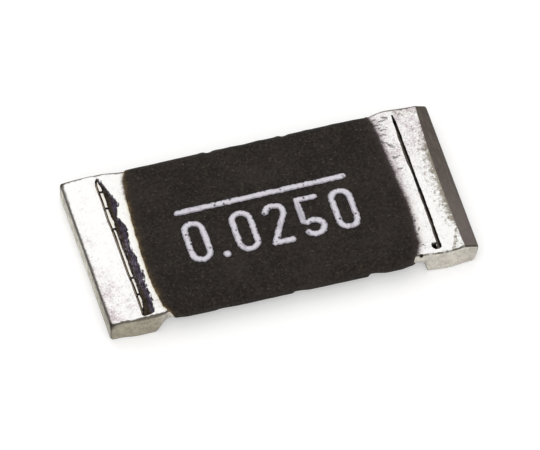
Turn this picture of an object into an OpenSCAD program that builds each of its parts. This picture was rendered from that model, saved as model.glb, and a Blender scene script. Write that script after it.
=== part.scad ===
// Metal strip chip resistor for surface mounting, in millimetres.
// Two copper terminals are welded to the ends of one alloy strip. The middle of the strip is milled
// thin from below, trimmed with slots, and coated in black. A value is printed on the coating.
// Origin at the middle of the soldering plane, +X along the chip, +Z up.

/* [Strip] */
// Length of the chip over both terminals
chip_length = 6.41; // [5.6:0.01:8]
// Width of the metal strip
strip_width = 3.18; // [2.4:0.02:4]
// Thickness of the strip at its ends
strip_thickness = 0.44; // [0.36:0.01:0.7]
// Rounding of the four upright corners
strip_corner = 0.04; // [0.02:0.01:0.2]
// Rounding of the long edges
strip_edge = 0.03; // [0.01:0.01:0.08]

/* [Left terminal] */
// Length from the end of the chip to the weld
left_terminal_length = 0.605; // [0.5:0.005:0.7]
// Length of the worn slope on the top
left_slope_run = 0.49; // [0.1:0.01:0.49]
// Height lost over that slope
left_slope_drop = 0.06; // [0.02:0.01:0.1]
// Rounding of the top edge of the end face
left_top_edge = 0.02; // [0.01:0.01:0.05]
// Rounding of the bottom edge of the end face
left_bottom_edge = 0.05; // [0.01:0.01:0.1]

/* [Right terminal] */
// Length from the end of the chip to the weld
right_terminal_length = 0.645; // [0.5:0.005:0.7]
// Length of the rolled slope on the top
right_slope_run = 0.22; // [0.1:0.01:0.49]
// Height lost over that slope
right_slope_drop = 0.07; // [0.02:0.01:0.14]
// Rounding of the top edge of the end face
right_top_edge = 0.04; // [0.01:0.01:0.08]
// Rounding of the bottom edge of the end face
right_bottom_edge = 0.12; // [0.01:0.01:0.14]
// How far the end face leans in at its bottom
right_end_lean = 0.09; // [0:0.01:0.1]
// Height below which it leans
right_lean_height = 0.32; // [0.1:0.01:0.4]

/* [Weld seams] */
// Depth of the groove left at each weld
seam_depth = 0.06; // [0.02:0.01:0.1]
// Width of the groove at the left weld
left_seam_width = 0.16; // [0.03:0.01:0.2]
// Width of the groove at the right weld
right_seam_width = 0.05; // [0.03:0.01:0.2]
// Distance from the ends of a groove to the long edges of the strip
seam_margin = 0.08; // [0.04:0.01:0.3]

/* [Resistive element] */
// Thickness of the milled middle
element_thickness = 0.20; // [0.12:0.01:0.26]
// Full-thickness length under the left weld
left_foot = 0.155; // [0.1:0.005:0.2]
// Length over which the left milled wall leans
left_wall_run = 0.20; // [0.05:0.01:0.22]
// Full-thickness length under the right weld
right_foot = 0.245; // [0.2:0.005:0.3]
// Length over which the right milled wall leans
right_wall_run = 0.07; // [0.05:0.01:0.1]
// Rounding where a milled wall meets the thin middle
neck_fillet = 0.06; // [0.02:0.01:0.08]
// Rounding of the inner bottom edge of each foot
foot_edge = 0.04; // [0.01:0.01:0.05]
// Trim slots, cut from the front and the back by turns
slot_count = 5; // [1:2:5]
// Distance from one slot to the next
slot_pitch = 0.66; // [0.4:0.01:0.7]
// Width of a slot
slot_width = 0.12; // [0.06:0.01:0.2]
// Width of metal left at the closed end of a slot
slot_bridge = 1.48; // [0.6:0.02:2]

/* [Coating] */
// Thickness over the strip
coat_over = 0.04; // [0.03:0.01:0.1]
// Thickness under the strip
coat_under = 0.06; // [0.03:0.01:0.08]
// Thickness beside the strip
coat_side = 0.04; // [0.03:0.01:0.1]
// Rounding of the long edges
coat_edge = 0.13; // [0.05:0.01:0.15]
// Bare metal left at each end, on the centre line
bare_length = 0.905; // [0.8:0.005:1]
// How far the rounded ends bulge past their corners
coat_bow = 0.13; // [0.05:0.01:0.2]
// Rounding of the top edge of the ends
coat_lip = 0.03; // [0.01:0.01:0.03]
// How far the left end steps back from the top of the strip to the underside
left_undercut = 0.10; // [0.01:0.01:0.15]
// How far the right end steps back
right_undercut = 0.02; // [0.01:0.01:0.15]
// Depth of the dip in the side of the coating at each slot mouth
dip_depth = 0.02; // [0.01:0.005:0.025]
// Radius of that dip
dip_radius = 0.35; // [0.1:0.01:0.5]

/* [Marking] */
// Thickness of the ink
ink_thickness = 0.02; // [0.02:0.01:0.04]
// Width of a stroke
ink_stroke = 0.11; // [0.06:0.01:0.14]
// Height of a digit
digit_height = 0.90; // [0.6:0.02:1.1]
// Width of a digit
digit_width = 0.42; // [0.34:0.02:0.48]
// Distance from one digit to the next
digit_pitch = 0.58; // [0.5:0.01:0.62]
// Extra room for the decimal point
point_room = 0.25; // [0.2:0.01:0.3]
// Radius of the decimal point
point_radius = 0.065; // [0.04:0.005:0.08]
// Length of the bar above the digits
bar_length = 3.00; // [2:0.02:3.4]
// Gap between the bar and the digits
bar_gap = 0.18; // [0.05:0.01:0.3]
// Middle of the print along the chip
print_x = -0.05; // [-0.2:0.01:0.2]
// Middle of the digits across the chip
print_y = -0.29; // [-0.4:0.01:0.1]
// Turn of the print on the chip
print_turn = 0.4; // [-5:0.1:5]

/* [Hidden] */

$fn = 64;
ARC_STEPS = 6;
DIGIT_ARC_STEPS = 16;
CUT = 1;
DIGITS = [0, 0, 2, 5, 0];
POINT_AFTER = 0;
COAT_EDGE_SHARE = 0.45;
TWO_ARC = [165, -35];
FIVE_ARC = [130, -150];

left_end = -chip_length / 2;
right_end = chip_length / 2;
left_weld = left_end + left_terminal_length;
right_weld = right_end - right_terminal_length;
neck_z = strip_thickness - element_thickness;
left_foot_end = left_weld + left_foot;
right_foot_end = right_weld - right_foot;
coat_half_width = strip_width / 2 + coat_side;
coat_top = strip_thickness + coat_over;
coat_bottom = neck_z - coat_under;
coat_end = chip_length / 2 - bare_length;
coat_end_radius = (coat_half_width * coat_half_width + coat_bow * coat_bow) / (2 * coat_bow);
coat_round = min(coat_edge, COAT_EDGE_SHARE * (coat_top - coat_bottom));
digit_reach = (digit_width - ink_stroke) / 2;
digit_rise = (digit_height - ink_stroke) / 2;
print_length = (len(DIGITS) - 1) * digit_pitch + point_room;

// Points of an arc about a centre
function arc(centre, radius, from, to, steps) =
    [for (i = [0 : steps])
        let (angle = from + (to - from) * i / steps)
        centre + radius * [cos(angle), sin(angle)]];

// Points that round corner b between its neighbours a and c, or b itself where the radius is 0
function round_corner(a, b, c, radius) =
    radius == 0 ? [b] :
    let (
        to_a = (a - b) / norm(a - b),
        to_c = (c - b) / norm(c - b),
        half = acos(to_a * to_c) / 2,
        centre = b + (to_a + to_c) / norm(to_a + to_c) * radius / sin(half),
        start = b + to_a * radius / tan(half) - centre,
        stop = b + to_c * radius / tan(half) - centre,
        from = atan2(start.y, start.x),
        turn = atan2(stop.y, stop.x) - from,
        sweep = turn > 180 ? turn - 360 : turn < -180 ? turn + 360 : turn
    )
    arc(centre, radius, from, from + sweep, ARC_STEPS);

// Outline through corners given as [x, y, radius]
function rounded(corners) =
    let (
        count = len(corners),
        points = [for (corner = corners) [corner[0], corner[1]]]
    )
    [for (i = [0 : count - 1])
        each round_corner(points[(i + count - 1) % count], points[i], points[(i + 1) % count], corners[i][2])];

// Outline of a stroke along a path, with mitred corners
function stroke(path) =
    let (
        last = len(path) - 1,
        sides = [for (i = [0 : last])
            let (
                before = path[i] - path[max(i - 1, 0)],
                after = path[min(i + 1, last)] - path[i],
                ahead = (i == 0 ? after : before) / norm(i == 0 ? after : before),
                next = (i == last ? before : after) / norm(i == last ? before : after),
                across = [-ahead.y - next.y, ahead.x + next.x],
                reach = ink_stroke / (1 + ahead * next)
            )
            across * reach / 2]
    )
    concat(
        [for (i = [0 : last]) path[i] + sides[i]],
        [for (i = [last : -1 : 0]) path[i] - sides[i]]
    );

// A profile drawn in X and Z, carried across the strip
module across_strip(width) {
    rotate([90, 0, 0])
        linear_extrude(width, center = true)
            children();
}

// A section drawn in Y and Z, carried along the chip
module along_chip(length) {
    rotate([90, 0, 90])
        linear_extrude(length, center = true)
            children();
}

// The strip as it is stamped, before welding and milling are told apart
module strip_blank() {
    half_length = chip_length / 2;
    half_width = strip_width / 2;
    intersection() {
        linear_extrude(strip_thickness)
            polygon(rounded([
                [-half_length, -half_width, strip_corner],
                [half_length, -half_width, strip_corner],
                [half_length, half_width, strip_corner],
                [-half_length, half_width, strip_corner]
            ]));
        along_chip(chip_length)
            polygon(rounded([
                [-half_width, 0, strip_edge],
                [half_width, 0, strip_edge],
                [half_width, strip_thickness, strip_edge],
                [-half_width, strip_thickness, strip_edge]
            ]));
    }
}

// A terminal with its end face at x = 0 and its weld at x = length
module terminal_profile(length, slope_run, slope_drop, top_edge, bottom_edge, end_lean = 0, lean_height = 0) {
    end_height = strip_thickness - slope_drop;
    lean_top = min(lean_height, end_height - top_edge);
    polygon(rounded(concat(
        [
            [end_lean, 0, bottom_edge],
            [length, 0, 0],
            [length, strip_thickness, 0],
            [slope_run, strip_thickness, 0],
            [0, end_height, top_edge]
        ],
        end_lean == 0 ? [] : [[0, lean_top, 0]]
    )));
}

module left_terminal() {
    color("gainsboro")
        intersection() {
            strip_blank();
            across_strip(strip_width)
                translate([left_end, 0])
                    terminal_profile(left_terminal_length, left_slope_run, left_slope_drop,
                        left_top_edge, left_bottom_edge);
        }
}

module right_terminal() {
    color("gainsboro")
        intersection() {
            strip_blank();
            across_strip(strip_width)
                translate([right_end, 0])
                    mirror([1, 0])
                        terminal_profile(right_terminal_length, right_slope_run, right_slope_drop,
                            right_top_edge, right_bottom_edge, right_end_lean, right_lean_height);
        }
}

// The strip between the welds, with the pocket milled from below
module element_profile() {
    polygon(rounded([
        [left_weld, 0, 0],
        [left_foot_end, 0, foot_edge],
        [left_foot_end + left_wall_run, neck_z, neck_fillet],
        [right_foot_end - right_wall_run, neck_z, neck_fillet],
        [right_foot_end, 0, foot_edge],
        [right_weld, 0, 0],
        [right_weld, strip_thickness, 0],
        [left_weld, strip_thickness, 0]
    ]));
}

// A groove beside a weld, steep at the weld and rising away from it
module weld_groove(width) {
    across_strip(strip_width - 2 * seam_margin)
        polygon([[0, strip_thickness - seam_depth], [width, strip_thickness], [0, strip_thickness]]);
}

// Calls its children at each slot mouth: front for even slots, back for odd ones
module at_slots() {
    for (i = [0 : slot_count - 1])
        translate([(i - (slot_count - 1) / 2) * slot_pitch, 0, 0])
            rotate(i % 2 == 0 ? 0 : 180)
                children();
}

module resistive_element() {
    color("silver")
        difference() {
            intersection() {
                strip_blank();
                across_strip(strip_width)
                    element_profile();
            }
            translate([left_weld, 0, 0])
                weld_groove(left_seam_width);
            translate([right_weld, 0, 0])
                mirror([1, 0, 0])
                    weld_groove(right_seam_width);
            at_slots()
                translate([-slot_width / 2, -strip_width / 2 - CUT, -CUT])
                    cube([slot_width, strip_width - slot_bridge + CUT, strip_thickness + 2 * CUT]);
        }
}

// A disc whose rim is the rounded left end of the coating
module coat_end_disc(undercut) {
    translate([coat_end_radius - coat_end, 0, 0])
        rotate_extrude($fn = 256)
            polygon(rounded([
                [0, coat_bottom, 0],
                [coat_end_radius - undercut, coat_bottom, 0],
                [coat_end_radius, strip_thickness, 0],
                [coat_end_radius, coat_top, coat_lip],
                [0, coat_top, 0]
            ]));
}

module coating_outside() {
    intersection() {
        along_chip(chip_length)
            polygon(rounded([
                [-coat_half_width, coat_bottom, coat_round],
                [coat_half_width, coat_bottom, coat_round],
                [coat_half_width, coat_top, coat_round],
                [-coat_half_width, coat_top, coat_round]
            ]));
        coat_end_disc(left_undercut);
        mirror([1, 0, 0])
            coat_end_disc(right_undercut);
    }
}

module coating() {
    color([0.19, 0.18, 0.17])
        difference() {
            coating_outside();
            resistive_element();
            at_slots()
                translate([0, dip_depth - coat_half_width - dip_radius, coat_bottom - CUT])
                    cylinder(coat_top - coat_bottom + 2 * CUT, r = dip_radius);
        }
}

// Outline of a digit nought of the given half width and half height
function nought(half_width, half_height) =
    concat(
        arc([0, half_height - half_width], half_width, 0, 180, DIGIT_ARC_STEPS),
        arc([0, half_width - half_height], half_width, 180, 360, DIGIT_ARC_STEPS)
    );

// Path of a digit two, drawn from its upper left end
function two() =
    concat(
        arc([0, digit_rise - digit_reach], digit_reach, TWO_ARC[0], TWO_ARC[1], DIGIT_ARC_STEPS),
        [[-digit_reach, -digit_rise], [digit_reach + ink_stroke / 2, -digit_rise]]
    );

// Path of a digit five, drawn from its upper right end
function five() =
    let (bowl_top = 2 * digit_reach - digit_rise)
    concat(
        [[digit_reach, digit_rise], [-digit_reach, digit_rise], [-digit_reach, bowl_top]],
        arc([0, digit_reach - digit_rise], digit_reach, FIVE_ARC[0], FIVE_ARC[1], DIGIT_ARC_STEPS)
    );

module digit(value) {
    if (value == 0)
        difference() {
            polygon(nought(digit_width / 2, digit_height / 2));
            polygon(nought(digit_width / 2 - ink_stroke, digit_height / 2 - ink_stroke));
        }
    if (value == 2)
        polygon(stroke(two()));
    if (value == 5)
        polygon(stroke(five()));
}

// The print as it lies flat, centred on its digits
module print_outline() {
    first = -print_length / 2;
    for (i = [0 : len(DIGITS) - 1])
        translate([first + i * digit_pitch + (i > POINT_AFTER ? point_room : 0), 0])
            digit(DIGITS[i]);
    translate([first + POINT_AFTER * digit_pitch + (digit_pitch + point_room) / 2, -digit_rise])
        circle(point_radius);
    translate([0, digit_height / 2 + bar_gap + ink_stroke / 2])
        square([bar_length, ink_stroke], center = true);
}

module value_marking() {
    color([0.80, 0.78, 0.85])
        translate([print_x, print_y, coat_top])
            rotate(print_turn)
                linear_extrude(ink_thickness)
                    print_outline();
}

resistive_element();
left_terminal();
right_terminal();
coating();
value_marking();
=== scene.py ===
import math

import bpy
import numpy as np
from mathutils import Matrix, Vector


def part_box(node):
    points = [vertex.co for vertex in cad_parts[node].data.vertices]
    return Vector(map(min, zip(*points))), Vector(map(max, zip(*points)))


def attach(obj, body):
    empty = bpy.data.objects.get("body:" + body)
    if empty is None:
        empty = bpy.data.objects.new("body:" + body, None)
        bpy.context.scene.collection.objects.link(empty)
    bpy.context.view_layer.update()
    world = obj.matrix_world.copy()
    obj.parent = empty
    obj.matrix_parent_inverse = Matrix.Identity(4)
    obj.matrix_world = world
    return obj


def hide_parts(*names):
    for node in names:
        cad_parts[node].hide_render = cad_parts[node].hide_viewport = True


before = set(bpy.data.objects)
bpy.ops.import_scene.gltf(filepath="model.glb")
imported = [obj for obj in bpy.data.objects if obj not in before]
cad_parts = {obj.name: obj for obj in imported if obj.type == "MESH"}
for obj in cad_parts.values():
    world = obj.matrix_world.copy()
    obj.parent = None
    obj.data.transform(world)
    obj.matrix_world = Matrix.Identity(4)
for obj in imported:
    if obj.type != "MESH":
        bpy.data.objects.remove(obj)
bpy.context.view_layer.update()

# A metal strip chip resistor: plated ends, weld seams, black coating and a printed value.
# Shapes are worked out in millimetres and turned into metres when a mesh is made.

MM = 0.001


def node_box(node):
    """Lowest and highest corner of a CAD node in millimetres."""
    low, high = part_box(node)
    return np.array(low) / MM, np.array(high) / MM


left_low, left_high = node_box("left_terminal")
right_low, right_high = node_box("right_terminal")
_, element_high = node_box("resistive_element")
coat_low, coat_high = node_box("coating")
_, print_high = node_box("value_marking")

# The strip
LEFT_END = left_low[0]
RIGHT_END = right_high[0]
LEFT_WELD = left_high[0]
RIGHT_WELD = right_low[0]
HALF_WIDTH = element_high[1]
THICKNESS = element_high[2]
STRIP_CORNER = 0.04
STRIP_EDGE = 0.03

# How far the strip's long edges stand out along the chip, as (place, distance) pairs,
# and the width of metal beside them that moves with them
FRONT_EDGE = (
    (-3.05, 0.0), (-2.72, 0.036), (-2.45, 0.034), (-2.32, 0.022), (-2.16, -0.013), (-1.80, -0.05),
    (1.80, -0.05), (2.68, 0.034), (3.05, 0.0),
)
BACK_EDGE = ((-3.10, 0.034), (-2.50, 0.008), (-2.12, -0.04), (2.00, -0.04), (2.45, 0.024), (3.10, 0.0))
EDGE_FLOW = 0.45

# The left terminal
LEFT_SLOPE_RUN = 0.49
LEFT_SLOPE_DROP = 0.06
LEFT_TOP_EDGE = 0.04
LEFT_BOTTOM_EDGE = 0.05
LEFT_BOTTOM_CORNER = 0.08

# The right terminal, with a bevel that is widest in its middle and metal upset by the weld at the back
RIGHT_SLOPE_RUN = 0.22
RIGHT_SLOPE_DROP = 0.07
RIGHT_SLOPE_LEAN = 0.013
RIGHT_SLOPE_BOW = 0.04
RIGHT_TOP_EDGE = 0.04
RIGHT_BOTTOM_EDGE = 0.12
RIGHT_END_LEAN = 0.09
RIGHT_LEAN_HEIGHT = 0.32
UPSET_PLACE = 2.48
UPSET_REACH = 0.20
UPSET_RISE = 0.018

# The resistive element
NECK_Z = 0.24
LEFT_FOOT = 0.175
LEFT_WALL_RUN = 0.18
RIGHT_FOOT = 0.245
RIGHT_WALL_RUN = 0.07
SLOT_COUNT = 5
SLOT_PITCH = 0.66
SLOT_WIDTH = 0.12
SLOT_BRIDGE = 1.48

# The coating, which is thinner beside its rims and dips in at the mouths of the slots.
# Its ends step back from their furthest points by the insets, given as (place across, inset) pairs.
COAT_TOP = coat_high[2]
COAT_BOTTOM = coat_low[2]
COAT_END = coat_high[0]
COAT_HALF_WIDTH = coat_high[1]
COAT_TOP_EDGE = 0.16
COAT_LOW_EDGE = 0.09
COAT_LEFT_UNDERCUT = 0.10
COAT_RIGHT_UNDERCUT = 0.02
COAT_LIP = 0.05
COAT_LIP_SHARE = 0.55
COAT_FEATHER = 0.24
COAT_TUCK = 0.30
COAT_SINK = 0.003
COAT_STEP = 0.03
COAT_RIM_RINGS = 17
COAT_MIDDLE_RINGS = 140
RIM_REACH = 0.030
BLUSH_REACH = 0.040
LEFT_COAT_INSET = (
    (-1.63, 0.130), (-1.43, 0.046), (-1.00, -0.008), (-0.60, -0.012), (0.30, 0.022), (0.95, 0.070),
    (1.39, 0.135), (1.63, 0.240),
)
RIGHT_COAT_INSET = (
    (-1.63, 0.190), (-1.43, 0.113), (-1.31, 0.070), (-0.78, 0.030), (-0.38, 0.012), (-0.24, 0.030),
    (0.86, 0.077), (1.15, 0.090), (1.42, 0.099), (1.63, 0.160),
)
FRONT_DIPS = (0.012, 0.030, 0.050)
FRONT_DIP_RUN = 0.30
BACK_DIPS = (0.020, 0.020)
BACK_DIP_RUN = 0.14
BACK_BUMP = 0.010
DROP_CENTRE = (2.205, -1.572, 0.415)
DROP_REACH = (0.036, 0.030, 0.034)

# The print. Its ink goes down into the coating by the bed, stands above it by the rim at its outline,
# and by the swell more inside it.
INK_BED = 0.010
INK_RIM = 0.002
INK_SWELL = print_high[2] - COAT_TOP - 0.010
INK_STROKE = 0.11
DIGIT_HEIGHT = 0.90
DIGIT_WIDTH = 0.42
DIGIT_PITCH = 0.58
POINT_ROOM = 0.25
POINT_RADIUS = 0.065
BAR_LENGTH = 3.00
BAR_GAP = 0.18
PRINT_CENTRE = (-0.05, -0.29)
PRINT_TURN = math.radians(0.4)
DIGITS = (0, 0, 2, 5, 0)
POINT_AFTER = 0


# Small helpers on numbers

def ramp(value, low, high):
    """0 at low, 1 at high and smooth between them."""
    share = np.clip((value - low) / (high - low), 0.0, 1.0)
    return share * share * (3.0 - 2.0 * share)


def bell(distance, reach):
    """1 at no distance, falling to 0 on both sides."""
    return np.exp(-(distance / reach) ** 2)


def span(start, stop, step):
    """Even values from start to stop, about a step apart."""
    count = max(1, int(round((stop - start) / step)))
    return np.linspace(start, stop, count + 1)


def merged(*spans):
    """The values of several spans in order, each once."""
    return np.unique(np.round(np.concatenate(spans), 6))


def rounding_lines(edge, inward, radius, count=7):
    """Places for grid lines across a rounded edge, close together where it turns down."""
    angles = np.linspace(0.0, math.pi / 2.0, count)
    return edge + inward * radius * (1.0 - np.cos(angles))


def rounding_drop(distance, radius):
    """Height lost at a distance from a rounded edge."""
    inside = np.clip(radius - distance, 0.0, radius)
    return radius - np.sqrt(radius * radius - inside * inside)


def lattice(column, row, seed):
    """A repeatable random number from 0 to 1 for each pair of whole numbers."""
    mixed = column.astype(np.int64) * 374761393 + row.astype(np.int64) * 668265263 + seed * 144269504
    mixed = mixed & 0xFFFFFFFF
    mixed = ((mixed ^ (mixed >> 13)) * 1274126177) & 0xFFFFFFFF
    return ((mixed ^ (mixed >> 16)) & 0xFFFFFF) / 0xFFFFFF


def waves(x, y, size, seed):
    """Smooth noise from -1 to 1 with bumps of about the given size."""
    column = np.floor(x / size)
    row = np.floor(y / size)
    across = ramp(x / size - column, 0.0, 1.0)
    along = ramp(y / size - row, 0.0, 1.0)
    near = lattice(column, row, seed) * (1 - across) + lattice(column + 1, row, seed) * across
    far = lattice(column, row + 1, seed) * (1 - across) + lattice(column + 1, row + 1, seed) * across
    return 2.0 * (near * (1 - along) + far * along) - 1.0


def line_waves(place, size, seed):
    """The same noise along a single line."""
    return waves(place, np.zeros_like(place), size, seed)


def follow(value, knots):
    """A value read off straight lines through given (place, value) pairs."""
    places, heights = zip(*knots)
    return np.interp(value, places, heights)


def curve(value, knots):
    """A value read off a smooth line through given (place, value) pairs."""
    places, heights = (np.array(column) for column in zip(*knots))
    before = np.clip(np.searchsorted(places, value) - 1, 0, len(places) - 2)
    share = ramp(value, places[before], places[before + 1])
    return heights[before] * (1.0 - share) + heights[before + 1] * share


# Meshes

def add_object(name, data):
    """A new object in the scene."""
    thing = bpy.data.objects.new(name, data)
    bpy.context.scene.collection.objects.link(thing)
    return thing


def make_piece(name, points, faces, node, material, marks):
    """A smooth mesh object from points in millimetres, standing for a CAD node."""
    used, renumbered = np.unique(faces, return_inverse=True)
    mesh = bpy.data.meshes.new(name)
    mesh.from_pydata((points[used] * MM).tolist(), [], renumbered.reshape(faces.shape).tolist())
    mesh.shade_smooth()
    mesh.set_sharp_from_angle(angle=math.radians(50.0))
    for mark, values in marks.items():
        layer = mesh.attributes.new(mark, "FLOAT", "POINT")
        layer.data.foreach_set("value", values[used].astype(np.float32))
    mesh.materials.append(material)
    piece = add_object(name, mesh)
    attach(piece, "root")
    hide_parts(node)


def plate(x, y, top, bottom, keep=None):
    """Points and faces of a plate over a grid, with walls round the kept cells."""
    rows, columns = x.shape
    if keep is None:
        keep = np.ones((rows - 1, columns - 1), bool)
    index = np.arange(rows * columns).reshape(rows, columns)
    under = rows * columns
    corner_a = index[:-1, :-1]
    corner_b = index[:-1, 1:]
    corner_c = index[1:, 1:]
    corner_d = index[1:, :-1]
    padded = np.pad(keep, 1)
    faces = [
        np.stack([corner_a, corner_b, corner_c, corner_d], -1)[keep],
        np.stack([corner_d, corner_c, corner_b, corner_a], -1)[keep] + under,
    ]
    sides = (
        (padded[:-2, 1:-1], corner_a, corner_b),
        (padded[2:, 1:-1], corner_c, corner_d),
        (padded[1:-1, :-2], corner_d, corner_a),
        (padded[1:-1, 2:], corner_b, corner_c),
    )
    for neighbour, start, stop in sides:
        open_side = keep & ~neighbour
        wall = np.stack([start + under, stop + under, stop, start], -1)
        faces.append(wall[open_side])
    upper = np.stack(np.broadcast_arrays(x, y, top), -1).reshape(-1, 3)
    lower = np.stack(np.broadcast_arrays(x, y, bottom), -1).reshape(-1, 3)
    return np.concatenate([upper, lower]), np.concatenate(faces)


# Weld seams, as lines across the strip

LEFT_SEAM = (
    (-1.54, -2.622), (-0.90, -2.616), (-0.60, -2.630), (0.30, -2.626), (0.58, -2.643), (1.00, -2.631),
    (1.34, -2.636), (1.44, -2.618), (1.50, -2.580),
)
RIGHT_SEAM = (
    (-1.45, 2.556), (-1.20, 2.558), (-0.80, 2.569), (0.25, 2.571), (0.43, 2.564), (0.90, 2.567),
    (1.20, 2.576), (1.47, 2.570),
)
SEAM_FRONT = -1.51
SEAM_BACK = 1.50

# Right-hand limit of the torn metal beside the left seam, and of the bright sliver, from the seam,
# and the bridges of torn metal across the sliver, as (place, half width) pairs
TEAR_LIMIT = (
    (-1.55, 0.050), (-1.52, 0.130), (-1.48, 0.186), (-1.10, 0.215), (-0.86, 0.188), (-0.75, 0.232),
    (-0.52, 0.225), (-0.41, 0.190), (-0.30, 0.218), (-0.05, 0.167), (0.12, 0.203), (0.39, 0.234),
    (0.60, 0.165), (0.68, 0.163), (0.86, 0.236), (1.08, 0.180), (1.35, 0.110), (1.44, 0.060),
    (1.50, 0.006),
)
SLIVER_LIMIT = (
    (-1.46, 0.000), (-1.36, 0.046), (-1.25, 0.060), (-1.00, 0.056), (-0.29, 0.070), (-0.10, 0.058),
    (0.35, 0.056), (0.53, 0.094), (0.70, 0.068), (1.32, 0.070), (1.42, 0.040), (1.46, 0.000),
)
SLIVER_BRIDGES = ((-1.10, 0.019), (-0.73, 0.027), (0.37, 0.027), (0.84, 0.020), (1.20, 0.017))
CRACK_HALF_WIDTH = 0.020
CRACK_DEPTH = 0.045
TEAR_DEPTH = 0.05
SLIVER_RISE = 0.004

# The right seam is an open slit of uneven width that ends in a hook at the front
SLIT_HALF_WIDTH = (
    (-1.44, 0.029), (-0.70, 0.024), (0.25, 0.021), (0.45, 0.029), (1.10, 0.026), (1.44, 0.014),
)
SLIT_DEPTH = 0.12
SLIT_FRONT = -1.44
SLIT_BACK = 1.44
HOOK_RADIUS = 0.046
HOOK_HALF_WIDTH = 0.032
HOOK_Y = -1.415


def sliver_limit(y):
    """Right-hand limit of the bright sliver, cut across by its bridges."""
    limit = follow(y, SLIVER_LIMIT)
    for bridge, half_width in SLIVER_BRIDGES:
        limit = limit * ramp(np.abs(y - bridge), 0.3 * half_width, half_width)
    return limit


def left_seam_marks(x, y):
    """Height change at the left seam, then its torn metal, crack, far side and sliver from 0 to 1."""
    offset = x - follow(y, LEFT_SEAM)
    inside = ramp(y, SEAM_FRONT - 0.02, SEAM_FRONT + 0.05) * ramp(y, SEAM_BACK + 0.01, SEAM_BACK - 0.06)
    crack_half = CRACK_HALF_WIDTH + 0.004 * line_waves(y, 0.17, 6)
    crack = inside * ramp(np.abs(offset), crack_half, crack_half * 0.3)
    sliver = sliver_limit(y) + 0.005 * waves(x, y, 0.05, 3)
    limit = follow(y, TEAR_LIMIT) + 0.020 * waves(x, y, 0.045, 1) + 0.014 * waves(x, y, 0.02, 2)
    tear = ramp(offset, sliver - 0.006, sliver + 0.008) * ramp(offset, limit + 0.034, limit - 0.028)
    tear = tear * ramp(y, SEAM_FRONT - 0.03, SEAM_FRONT) * ramp(y, SEAM_BACK, SEAM_BACK - 0.02)
    beside_crack = ramp(offset, CRACK_HALF_WIDTH * 0.6, CRACK_HALF_WIDTH)
    on_sliver = inside * beside_crack * ramp(offset, sliver + 0.004, sliver)
    ragged = 0.75 + 0.35 * waves(x, y, 0.035, 4)
    depth = CRACK_DEPTH * (0.80 + 0.35 * line_waves(y, 0.22, 7))
    relief = SLIVER_RISE * on_sliver - depth * crack - TEAR_DEPTH * tear * ragged
    far = ramp(offset, 0.08, 0.20) * ramp(y, 1.25, 0.90)
    return relief, tear, crack, far, on_sliver


def right_seam_marks(x, y):
    """Height change and darkness of the right seam: a slit and its hook."""
    offset = x - follow(y, RIGHT_SEAM)
    half = follow(y, SLIT_HALF_WIDTH) + 0.004 * line_waves(y, 0.11, 5)
    ends = ramp(y, SLIT_FRONT - 0.03, SLIT_FRONT) * ramp(y, SLIT_BACK + 0.02, SLIT_BACK - 0.02)
    slit = ends * ramp(np.abs(offset), half + 0.005, half - 0.004)
    hook_x = follow(HOOK_Y, RIGHT_SEAM) - HOOK_RADIUS
    reach = np.hypot(x - hook_x, y - HOOK_Y)
    ring = ramp(np.abs(reach - HOOK_RADIUS), HOOK_HALF_WIDTH + 0.004, HOOK_HALF_WIDTH - 0.005)
    below = ramp(y - HOOK_Y, 0.058, 0.040)
    dark = np.maximum(slit, ring * below)
    return -SLIT_DEPTH * dark, dark


# Marks on the bright metal

rng = np.random.default_rng(2512)


def scattered(count, *ranges):
    """Seeded x, y, sizes and turns of small dark marks."""
    return np.column_stack([rng.uniform(*limits, count) for limits in ranges])


LIP_COMMAS = scattered(30, (2.19, 2.44), (0.20, 1.46), (0.018, 0.034), (0.28 * math.pi, 0.50 * math.pi))
RIM_PITS = scattered(16, (2.24, 2.34), (-1.45, 0.30), (0.010, 0.022), (0.0, math.pi))
BAND_X = 2.784
BAND_Y = -1.534
BAND_SLOPE = 0.43
MARK_DEPTH = 0.010
GRAIN_RISE = 0.0012
PIT_STRETCH = 2.2

# How far traces of the coating reach over the metal beside its ends, how far painted shade reaches
# beside its right end, and the widths of the painted shade lines along the rounded long top edges,
# front and back
FILM_REACH = 0.025
LEFT_SMEAR_REACH = 0.016
RIGHT_SMEAR_REACH = 0.07
LIP_SHADE_REACH = 0.084
# Painted shade: widths of the dark lines on the rounded long top edges
LEFT_EDGE_SHADE = (0.034, 0.041)
RIGHT_EDGE_SHADE = (0.022, 0.040)


def turned(x, y, turn):
    """Coordinates along and across a direction."""
    return x * math.cos(turn) + y * math.sin(turn), y * math.cos(turn) - x * math.sin(turn)


def pit_marks(x, y):
    """Depth in the long pits beside the coating, from 0 to 1."""
    depth = np.zeros_like(x)
    for pit_x, pit_y, size, turn in RIM_PITS:
        along, across = turned(x - pit_x, y - pit_y, turn)
        reach = np.hypot(along / PIT_STRETCH, across) / size
        depth = np.maximum(depth, ramp(reach, 0.70, 0.25))
    return depth


def comma_marks(x, y):
    """Depth in the crescent marks on the right-hand lip, from 0 to 1."""
    depth = np.zeros_like(x)
    bent_x = x + 0.010 * waves(x, y, 0.04, 91)
    bent_y = y + 0.010 * waves(x, y, 0.04, 92)
    for mark_x, mark_y, size, turn in LIP_COMMAS:
        along, across = turned(bent_x - mark_x, bent_y - mark_y, turn)
        ring = ramp(np.abs(np.hypot(along, across * 0.5) - size), size * 0.55, size * 0.15)
        depth = np.maximum(depth, ring * ramp(along, 0.3 * size, 0.9 * size))
    return depth


def coat_edge_x(y, side):
    """Where the coating ends on top of the strip, for side -1 or 1."""
    inset = follow(y, LEFT_COAT_INSET if side < 0 else RIGHT_COAT_INSET)
    wander = 0.006 * line_waves(y, 0.16, 11 + side) + 0.005 * line_waves(y, 0.06, 21 + side)
    return side * (COAT_END - inset + wander)


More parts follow.
